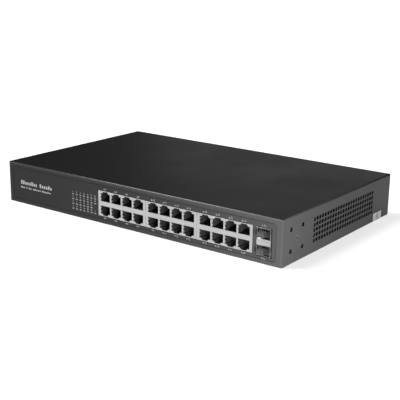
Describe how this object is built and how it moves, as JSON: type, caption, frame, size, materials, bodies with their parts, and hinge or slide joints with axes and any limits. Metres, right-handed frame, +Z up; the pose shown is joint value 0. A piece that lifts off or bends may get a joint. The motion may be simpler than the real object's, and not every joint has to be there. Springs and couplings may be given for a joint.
{
  "type": "rackmount network switch",
  "caption": "Flat steel case with blocks of modular sockets, two transceiver bays with pull-out dust plugs, status lamps, side vents and a mains inlet.",
  "frame": {"origin": "middle of the case's underside", "axes": "+X to the right as seen from the front, +Y from the front panel to the rear panel, +Z up"},
  "size_m": [0.3401, 0.219, 0.0436],
  "materials": {
    "case_paint": "fine textured powder coat",
    "panel_film": "matt printed film",
    "paper": "matt coated paper",
    "tinned_steel": "bright tinned sheet",
    "spring_metal": "satin spring metal",
    "black_plastic": "moulded, slight gloss",
    "gold_contact": "bright plating",
    "grey_rubber": "matt",
    "lens": "frosted clear",
    "board_green": "solder mask",
    "board_tan": "paper laminate",
    "chip": "moulded epoxy",
    "heatsink": "extruded",
    "zinc": "zinc plated",
    "black_screw": "black zinc",
    "can_sleeve": "shrunk sleeve",
    "nylon": "natural nylon",
    "insulation": "thin sheet",
    "winding_tape": "wrapped tape",
    "copper": "enamelled winding",
    "mains_wire": "insulated wire",
    "earth_wire": "insulated wire",
    "output_wire": "insulated wire"
  },
  "bodies": {
    "case": {"chassis_base": "case_paint", "top_cover": "case_paint", "front_film": "panel_film", "side_sticker": "paper", "jack_shield_left": "tinned_steel", "jack_shield_middle": "tinned_steel", "jack_shield_right": "tinned_steel", "jack_housing_left": "black_plastic", "jack_housing_middle": "black_plastic", "jack_housing_right": "black_plastic", "jack_contacts_left": "gold_contact", "jack_contacts_middle": "gold_contact", "jack_contacts_right": "gold_contact", "bay_cage": "tinned_steel", "bay_divider": "tinned_steel", "bay_springs": "spring_metal", "bay_connectors": "black_plastic", "lamp_holder": "black_plastic", "lamp_lenses": "lens", "main_board": "board_green", "board_standoffs": "zinc", "board_screws": "zinc", "switch_chip": "chip", "switch_heatsink": "heatsink", "phy_chips": "chip", "phy_heatsinks": "heatsink", "magnetics": "chip", "board_capacitors": "can_sleeve", "board_header": "nylon", "supply_board": "board_tan", "supply_standoffs": "zinc", "supply_screws": "zinc", "supply_insulator": "insulation", "supply_transformer": "winding_tape", "supply_heatsinks": "heatsink", "supply_bulk_capacitor": "can_sleeve", "supply_choke": "copper", "supply_capacitors": "can_sleeve", "supply_headers": "nylon", "mains_inlet": "black_plastic", "mains_pins": "zinc", "inlet_screws": "zinc", "inlet_nuts": "zinc", "earth_screw": "zinc", "earth_nut": "zinc", "live_wires": "mains_wire", "earth_wire": "earth_wire", "output_wires": "output_wire", "ear_nuts": "zinc", "cover_side_screws": "black_screw", "cover_rear_screws": "black_screw"},
    "plug_upper": {"dust_plug_upper": "grey_rubber"},
    "plug_lower": {"dust_plug_lower": "grey_rubber"}
  },
  "joints": [
    {"name": "plug_upper_slide", "type": "slide", "parent": "case", "child": "plug_upper", "axis": [0, -1, 0], "range_m": [0, 0.04]},
    {"name": "plug_lower_slide", "type": "slide", "parent": "case", "child": "plug_lower", "axis": [0, -1, 0], "range_m": [0, 0.04]}
  ]
}
